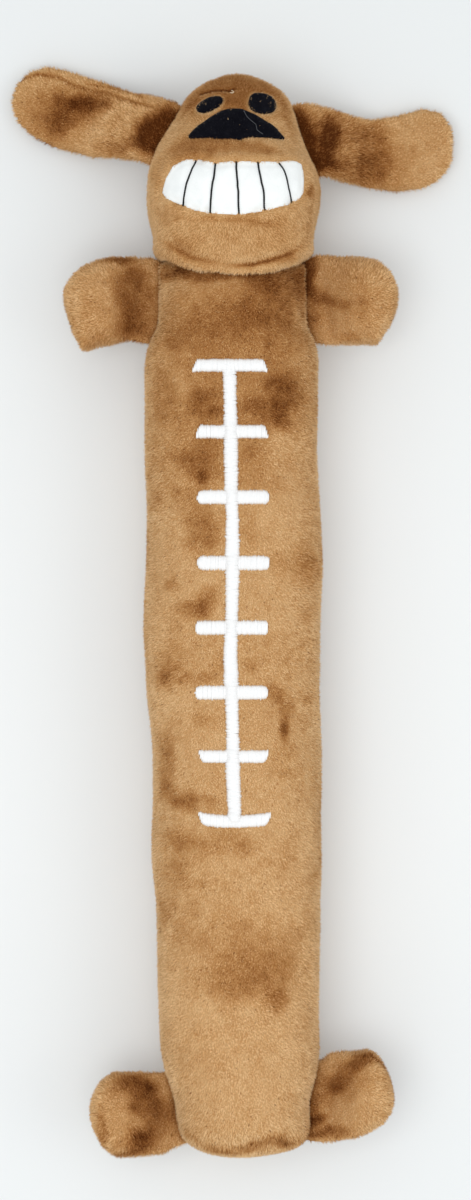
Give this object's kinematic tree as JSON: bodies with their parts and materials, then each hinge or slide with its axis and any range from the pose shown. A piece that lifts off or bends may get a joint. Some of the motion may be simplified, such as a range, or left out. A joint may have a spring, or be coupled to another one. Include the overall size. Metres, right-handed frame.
{
  "type": "plush dog toy",
  "caption": "Long stuffed plush dog toy with a flat-sided tube body, hinged head, ears and limbs, stitched white lacing, toothy felt face and a squeaker inside.",
  "frame": {"origin": "middle of the body's length and width, on the flat of the body's back that the toy lies on", "axes": "+Y from the feet to the head, +Z from the back to the face, +X to the right as seen from the front"},
  "size_m": [0.1265, 0.3093, 0.0568],
  "materials": {
    "brown_plush": "short golden brown plush pile, matt, with darker patches where the nap lies the other way",
    "black_felt": "matt black felt",
    "white_fabric": "smooth white fabric",
    "white_thread": "white satin stitching",
    "black_thread": "black sewing thread",
    "fibrefill": "loose white polyester fibre",
    "squeaker_plastic": "soft translucent white polyethylene"
  },
  "bodies": {
    "body": {"body_front_panel": "brown_plush", "body_back_panel": "brown_plush", "body_stuffing_front": "fibrefill", "body_stuffing_back": "fibrefill", "squeaker_bulb": "squeaker_plastic", "squeaker_valve": "squeaker_plastic", "squeaker_reed": "squeaker_plastic", "lace_spine": "white_thread", "lace_bar_1": "white_thread", "lace_bar_2": "white_thread", "lace_bar_3": "white_thread", "lace_bar_4": "white_thread", "lace_bar_5": "white_thread", "lace_bar_6": "white_thread", "lace_bar_7": "white_thread", "lace_bar_8": "white_thread"},
    "head": {"head_face_panel": "brown_plush", "head_back_panel": "brown_plush", "head_stuffing": "fibrefill", "teeth_panel": "white_fabric", "tooth_stitch_1": "black_thread", "tooth_stitch_2": "black_thread", "tooth_stitch_3": "black_thread", "tooth_stitch_4": "black_thread", "tooth_stitch_5": "black_thread", "nose_patch": "black_felt", "left_eye_patch": "black_felt", "right_eye_patch": "black_felt"},
    "left_ear": {"left_ear_front_panel": "brown_plush", "left_ear_back_panel": "brown_plush"},
    "right_ear": {"right_ear_front_panel": "brown_plush", "right_ear_back_panel": "brown_plush"},
    "left_arm": {"left_arm_front_panel": "brown_plush", "left_arm_back_panel": "brown_plush", "left_arm_stuffing": "fibrefill"},
    "right_arm": {"right_arm_front_panel": "brown_plush", "right_arm_back_panel": "brown_plush", "right_arm_stuffing": "fibrefill"},
    "left_foot": {"left_foot_front_panel": "brown_plush", "left_foot_back_panel": "brown_plush", "left_foot_stuffing": "fibrefill"},
    "right_foot": {"right_foot_front_panel": "brown_plush", "right_foot_back_panel": "brown_plush", "right_foot_stuffing": "fibrefill"}
  },
  "joints": [
    {"name": "neck_nod", "type": "hinge", "parent": "body", "child": "head", "pos_m": [0, 0.1075, 0.02175], "axis": [1, 0, 0], "range_deg": [-20, 24], "stiffness_Nm_per_rad": 0.15},
    {"name": "left_ear_flop", "type": "hinge", "parent": "head", "child": "left_ear", "pos_m": [-0.02141, 0.16104, 0.02], "axis": [0.4808, 0.8768, 0], "range_deg": [-20, 60], "stiffness_Nm_per_rad": 0.004},
    {"name": "right_ear_flop", "type": "hinge", "parent": "head", "child": "right_ear", "pos_m": [0.02191, 0.15816, 0.02], "axis": [0.3324, -0.9431, 0], "range_deg": [-20, 60], "stiffness_Nm_per_rad": 0.004},
    {"name": "left_arm_flap", "type": "hinge", "parent": "body", "child": "left_arm", "pos_m": [-0.02512, 0.10881, 0.02175], "axis": [0.2429, 0.9701, 0], "range_deg": [-35, 40], "stiffness_Nm_per_rad": 0.02},
    {"name": "right_arm_flap", "type": "hinge", "parent": "body", "child": "right_arm", "pos_m": [0.02324, 0.10908, 0.02175], "axis": [0.2268, -0.9739, 0], "range_deg": [-35, 40], "stiffness_Nm_per_rad": 0.02},
    {"name": "left_foot_flap", "type": "hinge", "parent": "body", "child": "left_foot", "pos_m": [-0.02001, -0.11613, 0.02175], "axis": [-0.2779, 0.9606, 0], "range_deg": [-35, 40], "stiffness_Nm_per_rad": 0.02},
    {"name": "right_foot_flap", "type": "hinge", "parent": "body", "child": "right_foot", "pos_m": [0.02492, -0.11402, 0.02175], "axis": [-0.1497, -0.9887, 0], "range_deg": [-35, 40], "stiffness_Nm_per_rad": 0.02}
  ]
}
